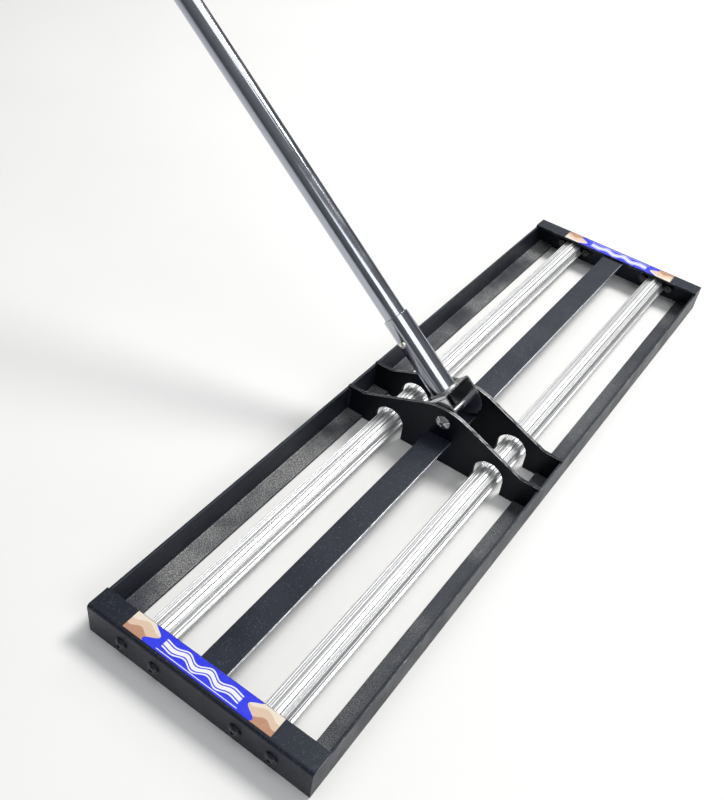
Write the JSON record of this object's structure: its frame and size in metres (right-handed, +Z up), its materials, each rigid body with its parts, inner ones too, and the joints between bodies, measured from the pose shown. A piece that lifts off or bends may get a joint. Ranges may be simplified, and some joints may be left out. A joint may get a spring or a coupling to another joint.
{
  "type": "lawn leveling rake",
  "caption": "Flat steel drag frame with fluted aluminium rollers, a flat centre bar and a long tubular handle that tilts between two bracket plates.",
  "frame": {"origin": "on the ground plane, under the middle of the rectangular frame", "axes": "+X along the frame towards the end that is nearer in the picture; +Y across it, away from the side the handle leans to; +Z up"},
  "size_m": [0.9228, 1.4771, 1.1926],
  "materials": {
    "black_steel": "fine-textured black powder coat, worn bright on exposed edges",
    "roller_aluminium": "extruded, satin",
    "stainless": "polished stainless tube and sheet",
    "zinc_plate": "zinc plated",
    "dark_bolts": "dark plated fasteners",
    "spring_steel": "bare spring strip",
    "nylon": "natural nylon",
    "black_rubber": "ribbed moulded rubber",
    "label_film": "printed film with a plain wave pattern"
  },
  "bodies": {
    "frame": {"end_plate_right": "black_steel", "end_plate_left": "black_steel", "front_rail": "black_steel", "rear_rail": "black_steel", "centre_bar": "black_steel", "bracket_plate_right": "black_steel", "bracket_plate_left": "black_steel", "frame_welds": "black_steel", "bracket_welds": "black_steel", "seat_front_right": "black_steel", "seat_front_left": "black_steel", "seat_rear_right": "black_steel", "seat_rear_left": "black_steel", "bush_front_right": "nylon", "bush_front_left": "nylon", "bush_rear_right": "nylon", "bush_rear_left": "nylon", "seat_bolts": "dark_bolts", "seat_washers": "dark_bolts", "seat_nuts": "dark_bolts", "pivot_bolt": "stainless", "pivot_nut": "zinc_plate", "pivot_washer": "zinc_plate", "thrust_washers": "nylon", "label_right": "label_film", "label_left": "label_film"},
    "handle": {"yoke": "stainless", "pivot_sleeve": "stainless", "handle_socket": "stainless", "socket_weld": "stainless", "pole_lower": "stainless", "pole_middle": "stainless", "pole_upper": "stainless", "socket_spring": "spring_steel", "lower_spring": "spring_steel", "upper_spring": "spring_steel", "grip": "black_rubber", "end_cap": "black_rubber"},
    "roller_front_body": {"roller_front": "roller_aluminium", "axle_front_right": "zinc_plate", "axle_front_left": "zinc_plate"},
    "roller_rear_body": {"roller_rear": "roller_aluminium", "axle_rear_right": "zinc_plate", "axle_rear_left": "zinc_plate"},
    "socket_button_right_body": {"socket_button_right": "stainless"},
    "socket_button_left_body": {"socket_button_left": "stainless"},
    "lower_button_right_body": {"lower_button_right": "stainless"},
    "lower_button_left_body": {"lower_button_left": "stainless"},
    "upper_button_right_body": {"upper_button_right": "stainless"},
    "upper_button_left_body": {"upper_button_left": "stainless"}
  },
  "joints": [
    {"name": "handle_tilt", "type": "hinge", "parent": "frame", "child": "handle", "pos_m": [0.027, 0, 0.0566], "axis": [1, 0, 0], "range_deg": [-140, 40]},
    {"name": "roller_front_roll", "type": "hinge", "parent": "frame", "child": "roller_front_body", "pos_m": [0, 0.066, 0.018], "axis": [1, 0, 0], "continuous": true},
    {"name": "roller_rear_roll", "type": "hinge", "parent": "frame", "child": "roller_rear_body", "pos_m": [0, -0.066, 0.018], "axis": [1, 0, 0], "continuous": true},
    {"name": "socket_button_right_press", "type": "slide", "parent": "handle", "child": "socket_button_right_body", "axis": [-1, 0, 0], "range_m": [0, 0.0058], "stiffness_N_per_m": 1500, "springref_m": -0.001},
    {"name": "socket_button_left_press", "type": "slide", "parent": "handle", "child": "socket_button_left_body", "axis": [1, 0, 0], "range_m": [0, 0.0058], "stiffness_N_per_m": 1500, "springref_m": -0.001},
    {"name": "lower_button_right_press", "type": "slide", "parent": "handle", "child": "lower_button_right_body", "axis": [-1, 0, 0], "range_m": [0, 0.0042], "stiffness_N_per_m": 1500, "springref_m": -0.001},
    {"name": "lower_button_left_press", "type": "slide", "parent": "handle", "child": "lower_button_left_body", "axis": [1, 0, 0], "range_m": [0, 0.0042], "stiffness_N_per_m": 1500, "springref_m": -0.001},
    {"name": "upper_button_right_press", "type": "slide", "parent": "handle", "child": "upper_button_right_body", "axis": [-1, 0, 0], "range_m": [0, 0.0042], "stiffness_N_per_m": 1500, "springref_m": -0.001},
    {"name": "upper_button_left_press", "type": "slide", "parent": "handle", "child": "upper_button_left_body", "axis": [1, 0, 0], "range_m": [0, 0.0042], "stiffness_N_per_m": 1500, "springref_m": -0.001}
  ]
}
